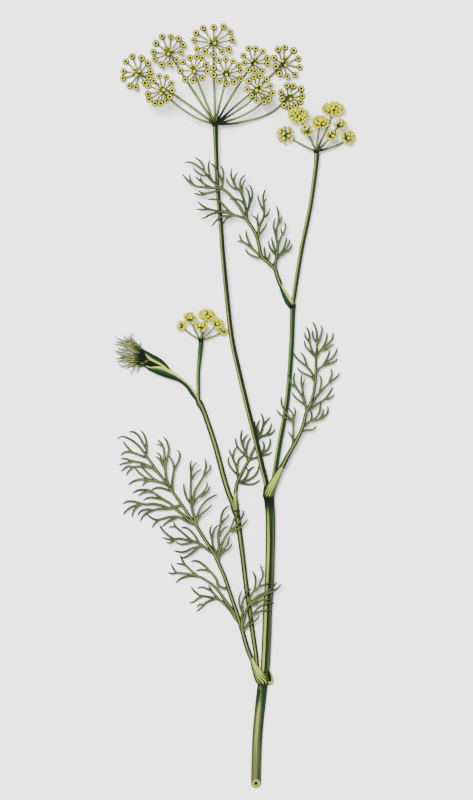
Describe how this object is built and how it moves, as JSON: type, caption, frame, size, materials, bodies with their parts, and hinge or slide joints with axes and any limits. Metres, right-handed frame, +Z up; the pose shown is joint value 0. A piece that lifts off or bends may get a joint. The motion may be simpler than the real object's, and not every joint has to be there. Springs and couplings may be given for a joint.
{
  "type": "cut flowering dill stem",
  "caption": "Cut flowering stem of dill laid flat: a branching stem with a hollow cut end, thread-like leaves on open sheaths, and flat-topped umbels of small yellow flowers.",
  "frame": {"origin": "middle of the bounding box's underside, at the level of the table that the stem lies on", "axes": "+Y along the stem from the cut end to the large umbel, +Z up from the table, +X to the right when seen from above with the umbels at the top"},
  "size_m": [0.1215, 0.3817, 0.0377],
  "materials": {
    "stem": "fresh green, finely ridged",
    "leaf": "soft green",
    "ray": "fresh olive green",
    "flower": "matt yellow",
    "bud": "matt yellow-green"
  },
  "bodies": {
    "root": {"main_stem": "stem", "main_umbel_stalk": "stem", "right_branch": "stem", "second_umbel_stalk": "stem", "side_branch": "stem", "third_umbel_stalk": "stem", "lower_leaf": "leaf", "side_leaf": "leaf", "right_leaf": "leaf", "upper_leaf": "leaf", "young_leaf": "leaf", "main_umbel_rays": "ray", "second_umbel_rays": "ray", "third_umbel_rays": "ray", "main_umbellet_01": "flower", "main_umbellet_02": "flower", "main_umbellet_03": "flower", "main_umbellet_04": "flower", "main_umbellet_05": "flower", "main_umbellet_06": "flower", "main_umbellet_07": "flower", "main_umbellet_08": "flower", "main_umbellet_09": "flower", "main_umbellet_10": "flower", "main_umbellet_11": "bud", "second_umbellet_1": "bud", "second_umbellet_2": "bud", "second_umbellet_3": "bud", "second_umbellet_4": "bud", "second_umbellet_5": "bud", "second_umbellet_6": "bud", "second_umbellet_7": "bud", "second_umbellet_8": "bud", "third_umbellet_1": "bud", "third_umbellet_2": "bud", "third_umbellet_3": "bud", "third_umbellet_4": "bud", "third_umbellet_5": "bud", "third_umbellet_6": "bud"}
  },
  "joints": []
}
